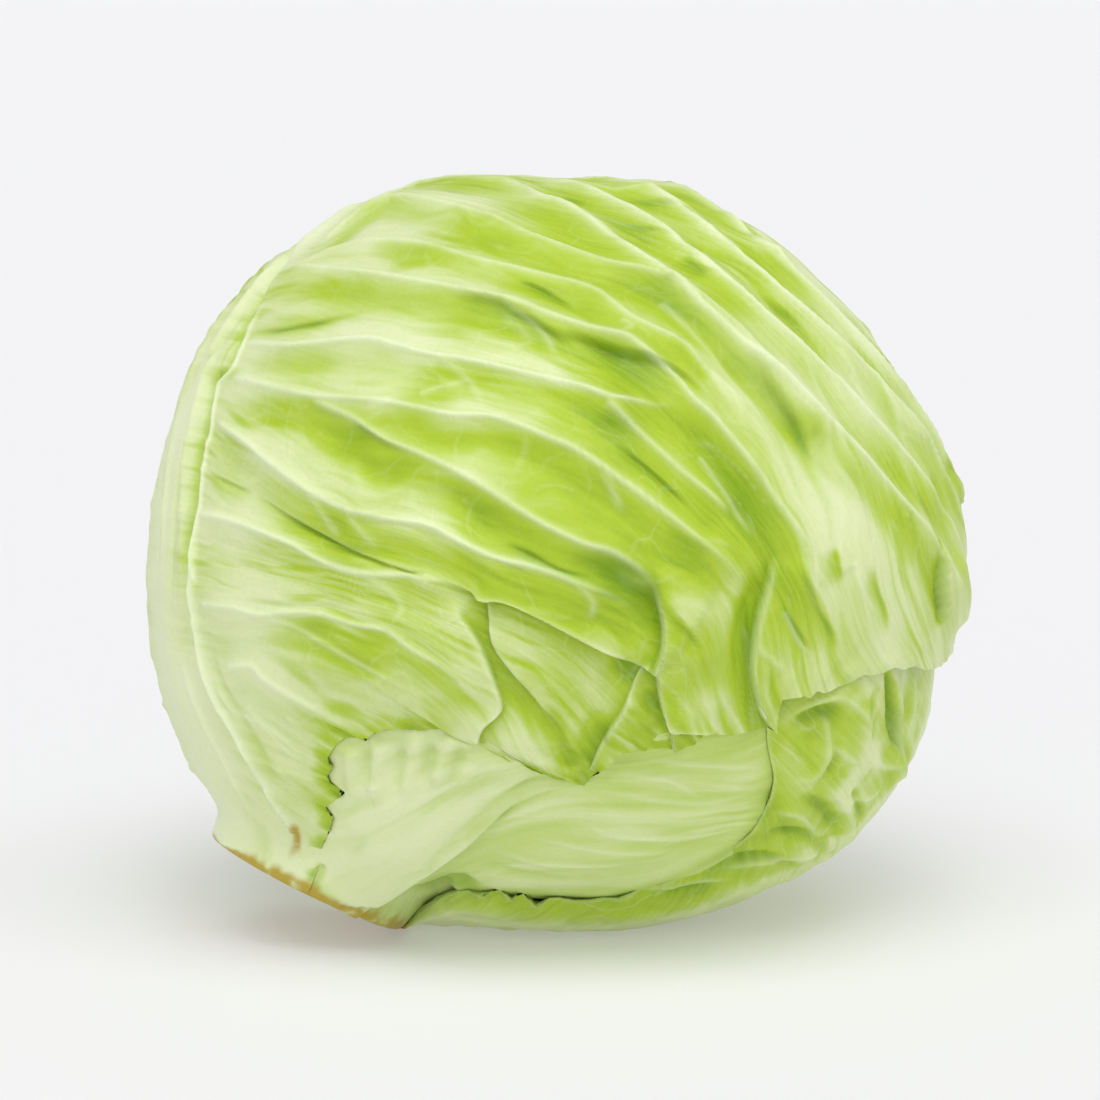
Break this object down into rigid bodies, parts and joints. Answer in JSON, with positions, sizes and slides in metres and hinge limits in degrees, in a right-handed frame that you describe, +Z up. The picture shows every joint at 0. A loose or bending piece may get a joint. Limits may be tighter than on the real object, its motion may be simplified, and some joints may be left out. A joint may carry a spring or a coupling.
{
  "type": "cabbage head",
  "caption": "Round head of white cabbage on its side: cut stump at the lower left, tight heart, and pale green wrapper leaves with folded, waved margins.",
  "frame": {"origin": "on the surface the head lies on, under the middle of its bounding box", "axes": "+Z up, +X to the right in the front view, where the stump is at the lower left and the crown at the upper right; the front faces -Y"},
  "size_m": [0.1918, 0.1797, 0.1717],
  "materials": {
    "cut_stump": "matte, browned cut",
    "heart_leaf": "satin, waxy",
    "outer_leaf": "satin, waxy, veined",
    "back_leaf": "satin, waxy, veined",
    "pale_leaf": "satin, waxy, thick ribbed",
    "under_leaf": "satin, waxy, crinkled"
  },
  "bodies": {
    "root": {"stump": "cut_stump", "heart": "heart_leaf", "leaf_a": "outer_leaf", "leaf_b": "back_leaf", "leaf_c": "pale_leaf", "leaf_d": "under_leaf"}
  },
  "joints": []
}
